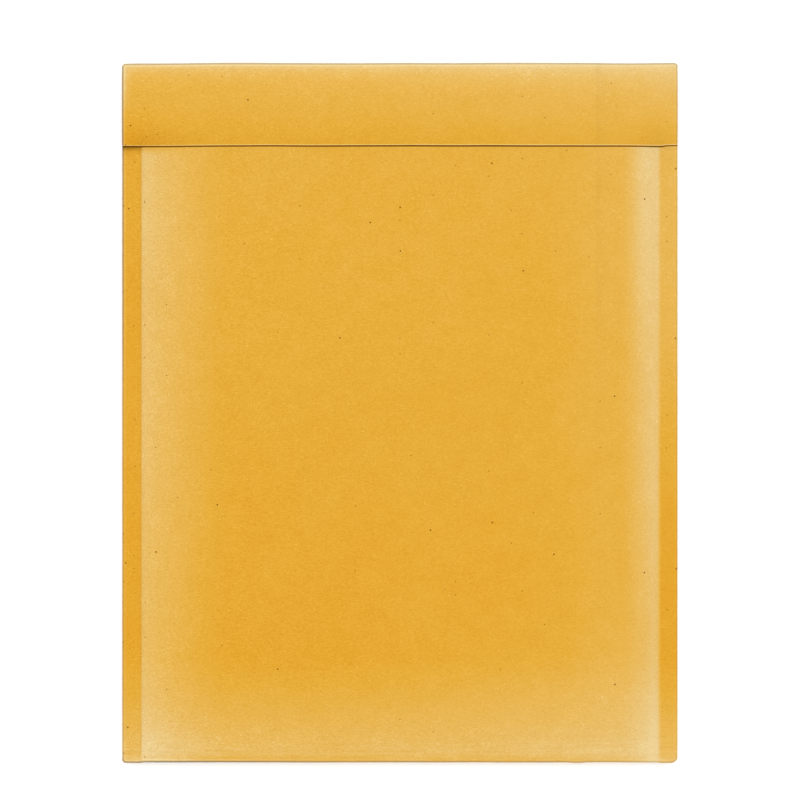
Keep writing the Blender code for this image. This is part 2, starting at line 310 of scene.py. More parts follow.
class EnvelopeShape:
    """Where the paper lies: heights as functions of x and y, which may be whole grids."""

    left_slope = 30 * MM
    right_slope = 14 * MM
    bottom_slope = 28 * MM
    top_slope = 10.5 * MM
    back_slope = 16 * MM
    left_toe = 0.2 * MM
    right_toe = 1.4 * MM
    back_toe = 0.8 * MM
    seam_step = 0.10
    seam_step_width = 1.2 * MM
    bulge = 0.25 * MM
    bulge_place = 64 * MM
    bulge_width = 2.2 * MM
    flap_left_lift = 2.2 * MM
    flap_right_lift = 0.6 * MM
    flap_left_slope = 25 * MM
    flap_right_slope = 20 * MM
    left_hang = 0.22 * MM
    right_hang = 0.18 * MM
    hang_place = 88 * MM
    strip_shortfall = 0.3 * MM
    corner_stand = 1.6 * MM
    corner_reach = 10 * MM
    seam_stand = 0.35 * MM
    flap_room_reach = 8.5 * MM
    crease_depth = 0.05 * MM
    crease_width = 1.6 * MM

    def __init__(self, sizes):
        self.sizes = sizes
        self.half_width = sizes.width / 2
        self.half_length = sizes.long_side / 2
        self.left_line = sizes.left_seam - self.half_width
        self.right_line = self.half_width - sizes.right_seam
        self.mouth = self.half_length - sizes.mouth_setback
        self.flap_edge = self.half_length - sizes.flap_depth
        self.front_rise = sizes.body_height - sizes.paper - sizes.seam_height
        self.back_drop = sizes.seam_height - sizes.paper
        padding = self.front_rise + self.back_drop
        self.bottom_share = (sizes.bottom_fold - 2 * sizes.paper) / padding
        self.top_share = (sizes.top_fold - 3 * sizes.paper - sizes.flap_room) / padding

    def front_sides(self, x):
        """The padding across the front: a parabola up from each seam, with a small sharp step at the left."""
        left = rise(toed(x - self.left_line, self.left_toe), self.left_slope)
        step = self.seam_step * ease(x - self.left_line, self.seam_step_width)
        right = rise(toed(self.right_line - x, self.right_toe), self.right_slope)
        return (step + (1 - self.seam_step) * left) * right

    def back_sides(self, x):
        """The padding across the back: the same parabola up from each seam."""
        left = rise(toed(x - self.left_line, self.back_toe), self.back_slope)
        return left * rise(toed(self.right_line - x, self.back_toe), self.back_slope)

    def flap_sides(self, x):
        """The flap is a stiff single sheet, so it bridges the seam strips and dips less than the front."""
        left_floor = self.flap_left_lift / self.front_rise
        right_floor = self.flap_right_lift / self.front_rise
        left = raised(left_floor, rise(x + self.half_width, self.flap_left_slope))
        right = raised(right_floor, rise(self.half_width - x, self.flap_right_slope))
        return np.maximum(left * right, self.front_sides(x))

    def corner_lift(self, x, left_radius, right_radius):
        """How far a round corner holds the outline back: the radius less a quarter circle's height."""
        lift = np.zeros_like(x)
        for radius, distance in ((left_radius, x + self.half_width), (right_radius, self.half_width - x)):
            inside = np.clip(radius - distance, 0, radius)
            lift = lift + radius - np.sqrt(radius**2 - inside**2)
        return lift

    def bottom_end(self, x):
        """Where the panels run into the bottom fold, which the padding draws in except at one small bulge."""
        sizes = self.sizes
        padding = self.front_rise * self.front_sides(x) + self.back_drop * self.back_sides(x)
        radius = (sizes.paper + self.bottom_share * padding) / 2
        between = ease(x - self.left_line + 1 * MM, 2.5 * MM) * ease(self.right_line + 1 * MM - x, 2.5 * MM)
        bulge = self.bulge * fade(x - self.bulge_place, self.bulge_width)
        tuck = sizes.bottom_tuck * (1 + 0.25 * wander(x, 70 * MM, 1.0)) * between - bulge
        lift = self.corner_lift(x, sizes.left_corner, sizes.right_corner)
        return lift + tuck + sizes.paper / 2 + radius - self.half_length

    def top_end(self, x):
        """Where the back panel and the flap run into the flap's fold."""
        sizes = self.sizes
        padding = self.front_rise * self.flap_sides(x) + self.back_drop * self.back_sides(x)
        radius = (2 * sizes.paper + sizes.flap_room + self.top_share * padding) / 2
        waves = 1 + 0.5 * wander(x, 95 * MM, 2.2) + 0.6 * fade(x + self.half_width, 30 * MM)
        lift = self.corner_lift(x, sizes.top_corner, sizes.top_corner)
        return self.half_length - lift - sizes.edge_wander * waves - sizes.paper / 2 - radius

    def ends(self, x, y, bottom_reach, top_reach):
        """How full the padding is along the envelope: 1 in the middle and less towards the two folds."""
        lower = raised(self.bottom_share, rise(y - self.bottom_end(x), bottom_reach))
        return lower * raised(self.top_share, rise(self.top_end(x) - y, top_reach))

    def flutter(self, x, y):
        """The strips' edges wave up and down more the further they are from the seam line."""
        left = ease(self.left_line - x, self.sizes.left_seam) * wander(y, 120 * MM, 0.4)
        right = ease(x - self.right_line, self.sizes.right_seam) * wander(y, 105 * MM, 3.1)
        return self.sizes.strip_flutter * (left + right)

    def front_height(self, x, y):
        """The seam's height plus the padding's rise, with low waves and one faint crease."""
        sizes = self.sizes
        full = self.front_sides(x) * self.ends(x, y, self.bottom_slope, self.top_slope)
        waves = sizes.cockle * cockled(x, y, 46 * MM, 0.9) * full
        crease = self.crease_depth * fade(x - sizes.crease, self.crease_width) * ease(y, 60 * MM)
        base = sizes.seam_height + sizes.paper / 2 + self.flutter(x, y)
        return base + self.front_rise * full + waves - crease * full

    def back_height(self, x, y):
        """The seam's height less the padding's drop. Waves only lift it, because it lies on the floor."""
        sizes = self.sizes
        full = self.back_sides(x) * self.ends(x, y, self.back_slope, self.back_slope)
        waves = sizes.cockle * (1 + cockled(x, y, 52 * MM, 2.6)) / 2 * full
        base = sizes.seam_height - sizes.paper / 2 + self.flutter(x, y)
        return base - self.back_drop * full + waves

    def free_edge(self, x):
        """The flap's free edge wanders, hangs lower near both ends, and is shorter over the right strip."""
        waves = 0.35 * self.sizes.edge_wander * wander(x, 75 * MM, 0.7)
        low = self.left_hang * fade(x + self.hang_place, 30 * MM)
        low += self.right_hang * fade(x - self.hang_place, 20 * MM)
        return self.flap_edge + waves - low + self.strip_shortfall * ease(x - self.right_line, 3 * MM)

    def flap_height(self, x, y):
        """Over the padding with room for the glue line, and down on the front along the free edge.

        There the left corner stands off its strip, and the edge bridges the dip at the right seam.
        """
        sizes = self.sizes
        full = self.flap_sides(x) * self.ends(x, y, self.bottom_slope, self.top_slope)
        bridged = sizes.seam_height + 1.5 * sizes.paper + self.front_rise * full + sizes.flap_room
        room = sizes.edge_room * (1 + 0.4 * wander(x, 85 * MM, 5.2))
        corner = self.corner_stand * (1 - ease(x + self.half_width, self.corner_reach))
        seam = self.seam_stand * fade(x - self.right_line, 4 * MM)
        touching = self.front_height(x, y) + sizes.paper + room + corner + seam
        return touching + (bridged - touching) * rise(y - self.flap_edge, self.flap_room_reach)

    def panel(self, x, part, height):
        """A stretch of the body: part is 0 at the bottom fold and 1 at the mouth."""
        bottom = self.bottom_end(x)
        y = bottom + (self.mouth - bottom) * part
        return points(x, y, height(x, y))

    def fold(self, x, y, upper, lower, side, angles):
        """A half round fold between two sheets: -90 degrees at the lower one, 90 at the upper one."""
        turn = angles[:, None]
        radius = (upper - lower) / 2
        return points(x, y + side * radius * np.cos(turn), (upper + lower) / 2 + radius * np.sin(turn))

    def bottom_fold(self, x, angles):
        """The half round fold between the back and the front."""
        y = self.bottom_end(x)
        return self.fold(x, y, self.front_height(x, y), self.back_height(x, y), -1, angles)

    def top_fold(self, x, angles):
        """The half round fold between the back and the flap."""
        y = self.top_end(x)
        return self.fold(x, y, self.flap_height(x, y), self.back_height(x, y), 1, angles)

    def body_length(self):
        """From the bottom fold to the mouth, along the middle."""
        return self.mouth - self.bottom_end(np.zeros(1))[0]


class KraftTones:
    """Painted highlights and shade, paper tone and specks at each point, as functions of x and y."""

    # Reach of the painted highlight bands, in from the seams and up from the bottom fold
    left_band = 31 * MM
    right_band = 11.2 * MM
    right_band_start = 3.6 * MM
    bottom_band_reach = 34 * MM
    bottom_band_start = 4.5 * MM
    strip_band = 38 * MM

    # Reach of the light at the flap's fold, and of the crease's shade
    flap_light = 2.8 * MM
    back_light = 3.5 * MM
    crease_shade = 3 * MM

    # Places across of the glints on the bottom fold, and of the duller spots above it
    left_glint = -88 * MM
    right_glint = 92.5 * MM
    left_dull = -86 * MM
    right_dull = 73 * MM

    def __init__(self, shape):
        self.shape = shape

    def from_bottom(self, y):
        return y + self.shape.half_length

    def from_top(self, y):
        return self.shape.half_length - y

    def across(self, x):
        """0 at the left edge and 1 at the right edge."""
        return (x + self.shape.half_width) / (2 * self.shape.half_width)

    def bottom_band(self, y):
        """Painted highlight: palest a little above the bottom fold, fading upwards from there as a power."""
        above = self.from_bottom(y) - self.bottom_band_start
        on_fold = raised(0.45, ease(self.from_bottom(y), 4 * MM))
        return np.clip(1 - above / self.bottom_band_reach, 0, 1) ** 1.2 * on_fold

    def body(self, x, y):
        """Gold in the middle; painted highlights where the padding slopes to the seams and the bottom fold.

        The right highlight band has a slow tail, and painted shade dulls the left one just under the flap.
        """
        from_left = x - self.shape.left_line
        from_right = self.shape.right_line - x
        from_bottom = self.from_bottom(y)
        left = np.clip(1 - from_left / self.left_band, 0, 1) ** 1.3
        right = 1 - ease(from_right - self.right_band_start, self.right_band)
        high = ease(y, 100 * MM)
        low = ease(-y, 125 * MM)
        middle = 0.16 + 0.75 * y + 0.12 * ease(x + 30 * MM, 120 * MM) * ease(-y - 50 * MM, 60 * MM)
        tail = (0.11 + 0.03 * low) * fade(x - 76 * MM, 15 * MM)
        sides = (0.46 + 0.03 * high) * left + (0.45 + 0.15 * high - 0.20 * low) * right + tail
        beside = 0.14 * fade(from_right - 2.2 * MM, 1.8 * MM) * ease(70 * MM - y, 130 * MM)
        bottom = 0.45 * self.bottom_band(y) + self.fold_light(x, y)
        # Painted shade under the flap's left end
        under = 0.45 * fade(self.shape.free_edge(x) - y, 1.8 * MM) * (1 - ease(from_left, 24 * MM))
        dull = 0.08 * fade(x - self.right_dull, 12 * MM) * fade(from_bottom - 11 * MM, 10 * MM)
        dull += 0.07 * fade(x - self.left_dull, 13 * MM) * fade(from_bottom - 18 * MM, 9 * MM)
        return middle + sides + beside + bottom - under - dull

    def fold_light(self, x, y):
        """Two pale glints where the bottom fold meets the glued strips."""
        left = 0.20 * fade(x - self.left_glint, 5 * MM)
        right = 0.30 * fade(x - self.right_glint, 3.5 * MM)
        return (left + right) * fade(self.from_bottom(y) - 1.3 * MM, 0.5 * MM)

    def strips(self, x, y):
        """The glued strips are deep gold, with painted highlights low down and at the upper right."""
        bottom = 0.54 * np.clip(1 - self.from_bottom(y) / self.strip_band, 0, 1) ** 1.3
        right = 0.29 * ease(y + 50 * MM, 100 * MM) * ease(x, 10 * MM)
        # Painted shade under the flap's left end
        under = 0.12 * fade(self.shape.free_edge(x) - y, 2.5 * MM) * (x < 0)
        return 0.09 + 0.4 * y + bottom + right + self.fold_light(x, y) - under

    def front(self, x, y):
        """The strips meet the body sharply on the left and softly on the right."""
        left = ease(x - self.shape.left_line + 0.05 * MM, 0.3 * MM)
        right = ease(self.shape.right_line + 0.8 * MM - x, 1.8 * MM)
        inside = left * right
        return self.strips(x, y) * (1 - inside) + self.body(x, y) * inside

    def back(self, x, y):
        """Like the front, with even painted highlight bands on both sides and one at the flap's fold."""
        side = np.minimum(x - self.shape.left_line, self.shape.right_line - x)
        band = 0.4 * (1 - ease(side, 18 * MM)) * ease(side + 0.3 * MM, 0.6 * MM)
        top = 0.6 * np.exp(-self.from_top(y) / self.back_light)
        return 0.12 + band + 0.36 * self.bottom_band(y) + top

    def flap(self, x, y):
        """A painted highlight at the fold, deepening to the free edge, and paler towards the right.

        A thin painted highlight runs down the left side, and painted shade makes the lower left corner
        deepest.
        """
        depth = self.from_top(y)
        across = self.across(x)
        to_right = ease(across, 1)
        down = 0.085 + 0.15 * (1 - depth / self.shape.sizes.flap_depth)
        down += (0.86 - 0.12 * to_right) * np.exp(-depth / self.flap_light)
        down += 0.06 * fade(depth - 16 * MM, 8 * MM)
        right = (0.11 + 0.15 * fade(depth - 5 * MM, 6 * MM)) * to_right
        right += 0.12 * fade(1 - across, 0.08) * fade(depth - 10 * MM, 9 * MM)
        side = 0.38 * fade(across * self.shape.sizes.width, 2.2 * MM) * ease(20 * MM - depth, 12 * MM)
        left = side * raised(0.4, ease(depth, 6 * MM)) + 0.03 * (1 - ease(across, 0.4))
        # Painted shade at the flap's lower left corner
        painted_corner_shade = 0.14 * fade(across, 0.06) * ease(depth - 14 * MM, 14 * MM)
        return down + right + left - painted_corner_shade

    def outline(self, x, y, on_flap):
        """Painted shade and highlight of the outline: evenly along the top, and elsewhere more on the left.
        """
        across = self.across(x)
        sides = 0.36 - 0.28 * across + 0.30 * (1 - across) * ease(y + 10 * MM, 50 * MM)
        sides += 0.04 * on_flap * (1 + across)
        bottom = 0.76 - 0.48 * across + 0.25 * fade(x + 70 * MM, 24 * MM)
        bottom += 0.08 * wander(x, 45 * MM, 0.5)
        top = 0.52
        at_top = fade(self.from_top(y), 2 * MM)
        at_bottom = fade(self.from_bottom(y), 2 * MM)
        return sides + (top - sides) * at_top + (bottom - sides) * at_bottom

    def line_thinning(self, x):
        """How much thinner the painted shadow line under the free edge is towards its two ends."""
        return 0.08 * MM * (1 - fade(x - 10 * MM, 50 * MM)) + 0.10 * MM * ease(x - 94.5 * MM, 2 * MM)

    def painted_edge_shade(self, x, on_flap):
        """Painted shade: a thin greyed line on the strip beside the left seam, at the padding's foot."""
        return 0.08 * fade(x - self.shape.left_line + 0.4 * MM, 0.3 * MM) * (1 - on_flap)

    def shade(self, x, y, on_flap, on_front):
        """Soft shade under the flap's lifted left corner, and along the right of the faint long crease."""
        below = np.maximum(self.shape.free_edge(x) - y, 0)
        inside = ease(x - self.shape.left_line, 0.4 * MM)
        strip = 0.48 * fade(below, 1.6 * MM) * (1 - inside)
        body = 0.12 * inside * fade(x - self.shape.left_line, 6 * MM) * fade(below, 1.2 * MM)
        past = x - self.shape.sizes.crease
        crease = ease(past + 0.2 * MM, 0.5 * MM) * np.exp(-np.maximum(past, 0) / self.crease_shade)
        depth = 0.065 * on_flap + 0.045 * ease(y + 60 * MM, 130 * MM) * on_front
        return (strip + body) * on_front + crease * depth

    def grain(self, x, tone):
        """The grain shows more on the left, and where the paper is pale."""
        return 0.62 + 0.35 * (1 - self.across(x)) + 0.25 * np.clip(tone, 0, 1)

    def drawn(self, y):
        """Where the paper is drawn over the bottom fold, it is streaked across."""
        return fade(self.from_bottom(y) - 4 * MM, 6 * MM)

    def specks(self, x, y):
        """Dark fibres are denser on the two strips, and most of all at the flap's lower left corner."""
        shape = self.shape
        strips = 0.35 * (1 - ease(x - shape.left_line, 3 * MM)) + 0.15 * ease(x - shape.right_line, 1 * MM)
        corner = fade(x + shape.half_width, 15 * MM) * fade(y - shape.flap_edge - 2 * MM, 7 * MM)
        return np.maximum(strips * (y < shape.flap_edge), corner)


class Field:
    """One output of a node. Arithmetic on fields adds Math nodes to the same material."""

    def __init__(self, finish, socket):
        self.finish = finish
        self.socket = socket

    def maths(self, operation, *terms):
        return self.finish.node("ShaderNodeMath", {"operation": operation}, dict(enumerate(terms)))

    def __add__(self, other):
        return self.maths("ADD", self, other)

    def __sub__(self, other):
        return self.maths("SUBTRACT", self, other)

    def __rsub__(self, other):
        return self.maths("SUBTRACT", other, self)

    def __mul__(self, other):
        return self.maths("MULTIPLY", self, other)

    __radd__ = __add__
    __rmul__ = __mul__

    def most(self, other):
        return self.maths("MAXIMUM", self, other)

    def below(self, limit):
        """1 where the field is under the limit, and 0 elsewhere."""
        return self.maths("LESS_THAN", self, limit)

    def line(self, middle, half_width):
        """1 where the field is at the middle, and 0 from half a width on either side."""
        return self.smooth(middle - half_width, middle) * self.smooth(middle + half_width, middle)

    def smooth(self, start, stop):
        """An S-curve from 0 at start to 1 at stop, level beyond them."""
        settings = {"interpolation_type": "SMOOTHSTEP"}
        inputs = {"Value": self, "From Min": start, "From Max": stop}
        return self.finish.node("ShaderNodeMapRange", settings, inputs)


class Finish:
    """A material with one shader. Its node method adds any node: settings first, then sockets."""

    def __init__(self, name):
        self.material = bpy.data.materials.new(name)
        self.material.use_nodes = True
        self.tree = self.material.node_tree
        self.shader = self.tree.nodes["Principled BSDF"]

    def wire(self, socket, value):
        if isinstance(value, Field):
            self.tree.links.new(value.socket, socket)
        else:
            socket.default_value = value

    def node(self, kind, settings=None, inputs=None, output=0):
        made = self.tree.nodes.new(kind)
        for name, value in (settings or {}).items():
            setattr(made, name, value)
        for socket, value in (inputs or {}).items():
            self.wire(made.inputs[socket], value)
        return Field(self, made.outputs[output])

    def ramp(self, field, stops):
        """Colours that blend from stop to stop, each stop being a place and a colour."""
        found = self.node("ShaderNodeValToRGB", None, {"Fac": field})
        elements = found.socket.node.color_ramp.elements
        for place, _ in stops[len(elements):]:
            elements.new(place)
        for element, (place, tint) in zip(elements, stops):
            element.position = place
            element.color = (*tint, 1)
        return found

    def place(self):
        return self.node("ShaderNodeTexCoord", output="Object")

    def attribute(self, name):
        return self.node("ShaderNodeAttribute", {"attribute_name": name}, output="Fac")

    def stretched(self, place, turn, scale):
        """The place turned about Z and then squeezed, so that a pattern on it comes out long."""
        inputs = {"Vector": place, "Rotation": (0, 0, turn), "Scale": scale}
        return self.node("ShaderNodeMapping", None, inputs)

    def noise(self, place, size, detail=2):
        """Soft cloudy noise around 0, whose blots are about the given size."""
        inputs = {"Vector": place, "Scale": 1 / size, "Detail": detail, "Roughness": 0.6}
        return self.node("ShaderNodeTexNoise", None, inputs) - 0.5

    def dots(self, place, cell, radius, chance):
        """Round dots, at most one in a cell: 1 within the radius, where the cell's own number is low."""
        settings = {"voronoi_dimensions": "2D"}
        inputs = {"Vector": place, "Scale": 1 / cell}
        nearness = self.node("ShaderNodeTexVoronoi", settings, inputs, "Distance")
        own = self.node("ShaderNodeTexVoronoi", settings, inputs, "Color")
        number = self.node("ShaderNodeSeparateColor", None, {"Color": own}, "Red")
        return nearness.smooth(1.4 * radius / cell, 0.7 * radius / cell) * number.below(chance)

    def mix(self, factor, base, tint):
        """The base colour, which turns into a plain tint where the factor is 1."""
        inputs = {0: factor, 6: base, 7: (*tint, 1)}
        return self.node("ShaderNodeMix", {"data_type": "RGBA"}, inputs, 2)

    def dimmed(self, tint, factor):
        inputs = {"Vector": tint, "Scale": factor}
        return self.node("ShaderNodeVectorMath", {"operation": "SCALE"}, inputs)

    def bump(self, height, distance, strength):
        inputs = {"Height": height, "Distance": distance, "Strength": strength}
        return self.node("ShaderNodeBump", None, inputs)

    def dress(self, **sockets):
        """Sets the shader's sockets, named in small letters with underscores. Returns the material."""
        for name, value in sockets.items():
            self.wire(self.shader.inputs[SOCKETS[name]], value)
        return self.material


SOCKETS = {
    "base": "Base Color",
    "roughness": "Roughness",
    "specular": "Specular IOR Level",
    "transmission": "Transmission Weight",
    "coat": "Coat Weight",
    "normal": "Normal",
}


def kraft_finish(colours):
    """Golden kraft: the tone picks the colour, and patterns and lines lift or lower it.

    Painted highlights run as pale lines inside the outline and along the free edge. Painted shade greys
    the edges, and specks and a painted shadow line lie over them.
    """
    kraft = Finish("kraft_paper")
    place = kraft.place()
    tone = kraft.attribute("tone")
    grain = kraft.noise(place, 0.36 * MM, 1)
    fibres = kraft.noise(kraft.stretched(place, 0.15, (0.3, 1, 1)), 0.40 * MM)
    slanted = kraft.noise(kraft.stretched(place, 1.2, (0.35, 1, 1)), 0.50 * MM)
    blots = kraft.noise(place, 7 * MM, 3)
    clouds = kraft.noise(place, 38 * MM, 2)
    fine = (grain * 1.6 + fibres + slanted * 0.6) * kraft.attribute("grain") * colours.grain
    streaks = kraft.noise(kraft.stretched(place, 0, (0.06, 1, 1)), 0.9 * MM) * kraft.attribute("drawn")
    # Painted highlights along crinkle ridges, where the tone is pale
    folded = kraft.noise(place, 3.2 * MM, 3)
    ridges = folded.most(0 - folded).smooth(0.025, 0)
    painted_crinkle_highlights = ridges * kraft.noise(place, 8 * MM).smooth(0.02, 0.12) * tone.smooth(0.12, 0.5)
    flecks = kraft.dots(place, 2.2 * MM, 0.17 * MM, 0.13)

    inset = kraft.attribute("inset")
    above_edge = kraft.attribute("above_edge")
    below_edge = kraft.attribute("below_edge")
    outline = kraft.attribute("outline")
    # Painted highlights: pale lines inside the outline, along the free edge and below its shadow line
    lines = inset.line(0.95 * MM, 0.40 * MM) * outline * 0.42
    lines = lines + above_edge.line(0.15 * MM, 0.34 * MM) * 0.5
    lines = lines + below_edge.line(0.85 * MM, 0.26 * MM) * 0.18
    # The tone deepens just below the free edge: part of the painted shadow there
    tone = tone + clouds * 0.12 - below_edge.smooth(0.85 * MM, 0.60 * MM) * 0.5
    light = 1
    for pattern, on_tone, on_light in (
        (lines, 1, 0.2),
        (fine, 0.40, 0.38),
        (blots, 0.13, 0.04),
        (flecks, 0.26, 0.10),
        (painted_crinkle_highlights, 0.16, 0.05),
        (streaks, 0.35, 0.10),
    ):
        tone = tone + pattern * on_tone
        light = light + pattern * on_light
    tints = (colours.deep, colours.gold, colours.light, colours.pale)
    paper = kraft.dimmed(kraft.ramp(tone, list(zip(TONE_STOPS, tints))), light)

    dirt = kraft.attribute("specks")
    large = kraft.dots(place, 11 * MM, 0.27 * MM, dirt * 0.35 + 0.045)
    small = kraft.dots(place, 4 * MM, 0.18 * MM, dirt * 0.4 + 0.02)
    faint = kraft.dots(place, 1.5 * MM, 0.13 * MM, dirt * 0.5 + 0.012)
    specks = large.most(small * 0.95).most(faint * 0.5)
    # Painted shade: the greyed line along the outline and beside the left seam
    painted_edge_shade = (inset.smooth(0.85 * MM, 0.25 * MM) * outline + kraft.attribute("painted_edge_shade")) * (1 + fine * 0.6)
    surface = kraft.mix(painted_edge_shade, paper, colours.painted_edge_shade)
    # Painted shadow: the dark line under the flap's free edge, mixed in brown with the specks and painted
    # shade
    gap = below_edge.smooth(0.70 * MM, 0.42 * MM) * 0.94
    dark = specks.most(gap + kraft.attribute("shade"))
    surface = kraft.mix(dark, surface, colours.brown)
    return kraft.dress(
        base=surface,
        roughness=fine * 0.15 + 0.72,
        specular=0.05,
        normal=kraft.bump(fine + blots * 3 - specks * 0.3, 0.05 * MM, 0.6),
    )


def film_finish(colours):
    """Clear film with a soft haze and fine drawn lines along the web."""
    film = Finish("bubble_film")
    place = film.place()
    haze = film.noise(place, 5 * MM, 3)
    drawn = film.noise(film.stretched(place, 0, (1, 0.05, 1)), 0.5 * MM)
    return film.dress(
        base=film.dimmed(colours.film, 1 + haze * 0.15),
        roughness=haze * 0.2 + drawn * 0.1 + 0.18,
        transmission=0.75,
        normal=film.bump(haze * 2 + drawn, 0.05 * MM, 0.5),
    )


def adhesive_finish(colours):
    """A tacky clear line: glossy, slightly yellow, with a rolled surface."""
    glue = Finish("clear_adhesive")
    place = glue.place()
    rolled = glue.noise(glue.stretched(place, 0, (0.2, 1, 1)), 0.8 * MM)
    cloudy = glue.noise(place, 6 * MM, 3)
    return glue.dress(
        base=glue.dimmed(colours.adhesive, 1 + cloudy * 0.2),
        roughness=rolled * 0.15 + 0.18,
        transmission=0.4,
        normal=glue.bump(rolled + cloudy * 2, 0.04 * MM, 0.7),
    )


def liner_finish(colours):
    """Coated white paper: smooth, with a faint fibre pattern under the coat."""
    liner = Finish("release_paper")
    place = liner.place()
    fibres = liner.noise(liner.stretched(place, 0.3, (0.3, 1, 1)), 0.6 * MM, 3)
    clouds = liner.noise(place, 9 * MM, 3)
    return liner.dress(
        base=liner.dimmed(colours.liner, 1 + fibres * 0.05 + clouds * 0.06),
        roughness=fibres * 0.1 + 0.34,
        coat=clouds * 0.2 + 0.3,
        normal=liner.bump(fibres + clouds * 2, 0.02 * MM, 0.5),
    )


def floor_finish(colours):
    """A plain pale floor with a barely visible mottle."""
    floor = Finish("pale_floor")
    mottle = floor.noise(floor.place(), 0.4, 2)
    return floor.dress(
        base=floor.dimmed(colours.floor, 1 + mottle * 0.01), roughness=0.85, specular=0.1
    )


def paper_columns(shape):
    """The x of each grid line of the paper, and the positions of the two seam lines among them."""
    sizes = shape.sizes
    turns = np.linspace(0, np.pi / 2, CORNER_STEPS + 1)
    left = sizes.left_corner * (1 - np.cos(turns)) - shape.half_width
    right = shape.half_width - sizes.right_corner * (1 - np.cos(turns[::-1]))
    breaks = np.concatenate([left, [shape.left_line, sizes.crease, shape.right_line], right])
    x = graded_lines(breaks, COLUMN_SPACING)
    return x, np.argmin(abs(x - shape.left_line)), np.argmin(abs(x - shape.right_line))


def cut_edge(outer, inner, mouth_row):
    """The faces of one long side: the flap's own edge, and below the mouth the glued strip's edge."""
    back = outer[mouth_row:]
    half = len(back) // 2 + 1
    front = back[::-1][:half]
    back = back[:half]
    faces = ribbon(outer[: mouth_row + 1], inner[: mouth_row + 1])
    faces.append((back[0], back[1], front[1], front[0], inner[mouth_row]))
    faces += ribbon(back[1:-1], front[1:-1])
    faces.append((back[-2], back[-1], front[-2]))
    return faces


def kraft_sheet(shape, finish):
    """One sheet: the flap, the flap's fold, the back, the bottom fold and the front, glued at the sides.

    The grid's second parameter is x. Its first one runs along the paper from the flap's free edge to the
    mouth, by the height functions on the panels and by half circles at the two folds. The outside and
    the inside lie half the paper's thickness to either side, along the normals. Below the mouth the two
    insides meet on the seam lines, and there is no inside on the glued strips.
    """
    sizes = shape.sizes
    x, left, right = paper_columns(shape)
    angles = np.linspace(-np.pi / 2, np.pi / 2, FOLD_STEPS + 1)[1:-1]
    body = shape.body_length()
    parts = graded_parts([0, body - sizes.flap_depth + sizes.mouth_setback, body], BODY_SPACING)
    flap_parts = graded_parts([0, sizes.flap_depth], FLAP_SPACING)
    above_mouth = graded_parts([0, sizes.mouth_setback], FLAP_SPACING)

    free_edge = shape.free_edge(x)
    top_end = shape.top_end(x)
    flap_y = free_edge + (top_end - free_edge) * flap_parts
    back_y = shape.mouth + (top_end - shape.mouth) * above_mouth[:0:-1]
    top_fold = shape.top_fold(x, angles[::-1])
    stretches = [
        points(x, flap_y, shape.flap_height(x, flap_y)),
        top_fold,
        points(x, back_y, shape.back_height(x, back_y)),
        shape.panel(x, parts[::-1], shape.back_height),
        shape.bottom_fold(x, angles),
        shape.panel(x, parts, shape.front_height),
    ]
    first_rows = np.cumsum([0] + [len(stretch) for stretch in stretches])
    mouth_row = first_rows[3]
    middle = np.concatenate(stretches)
    outside = offset(middle, sizes.paper / 2)
    inside = offset(middle, -sizes.paper / 2)
    for seam in (left, right):
        line = middle[mouth_row:, seam].copy()
        line[first_rows[4] - mouth_row : first_rows[5] - mouth_row, 1] = shape.bottom_end(x[seam : seam + 1])
        line[:, 2] = sizes.seam_height
        inside[mouth_row:, seam] = line
    for face in (outside, inside):
        face[:, [0, -1], 0] = middle[:, [0, -1], 0]

    outer = numbered(outside)
    inner = numbered(inside, outer.size)
    faces = quads(outer) + quads(inner[: mouth_row + 1]) + quads(inner[mouth_row:, left : right + 1])
    faces += ribbon(outer[0], inner[0])
    faces += ribbon(outer[-1, left : right + 1], inner[-1, left : right + 1])
    for strip in (slice(None, left + 1), slice(right, None)):
        faces += ribbon(outer[-1, strip], inner[mouth_row, strip])
    for edge in (0, -1):
        faces += cut_edge(outer[:, edge], inner[:, edge], mouth_row)
    flap_rows = first_rows[1] + len(angles) // 2
    front_rows = first_rows[4] + len(angles) // 2
    fields = paper_fields(shape, outside, flap_rows, front_rows)
    return closed_piece("kraft_paper", [outside, inside], faces, finish, fields)


def paper_fields(shape, grid, flap_rows, front_rows):
    """What the finish reads at each point of the outside, and on the plain inside."""
    tones = KraftTones(shape)
    x, y = grid[..., 0], grid[..., 1]
    side = shape.half_width - abs(x)
    inset = np.minimum(side, np.minimum(y.max(axis=0) - y, y - y.min(axis=0)))
    row = np.arange(len(grid))[:, None] + np.zeros_like(x)
    on_flap = (row <= flap_rows).astype(float)
    on_front = (row >= front_rows).astype(float)
    tone = on_flap * tones.flap(x, y) + on_front * tones.front(x, y)
    tone += (1 - on_flap - on_front) * tones.back(x, y)
    above_edge = y - shape.free_edge(x)
    nothing = np.zeros_like(x)
    far = nothing + 9 * MM
    return {
        "tone": (tone, nothing + 0.15),
        "painted_edge_shade": (tones.painted_edge_shade(x, on_flap), nothing),
        "shade": (tones.shade(x, y, on_flap, on_front), nothing),
        "grain": (tones.grain(x, tone), nothing + 0.8),
        "drawn": (tones.drawn(y), nothing),
        "specks": (tones.specks(x, y), nothing),
        "outline": (tones.outline(x, y, on_flap), nothing),
        "inset": (inset, far),
        "above_edge": (np.where(on_flap, above_edge, far), far),
        "below_edge": (np.where(on_front, tones.line_thinning(x) - above_edge, far), far),
    }


def cell_places(count):
    """Each grid line's place in its own cell, from -1 at one side to 1 at the other."""
    return np.arange(count * BUBBLE_STEPS + 1) % BUBBLE_STEPS * 2 / BUBBLE_STEPS - 1


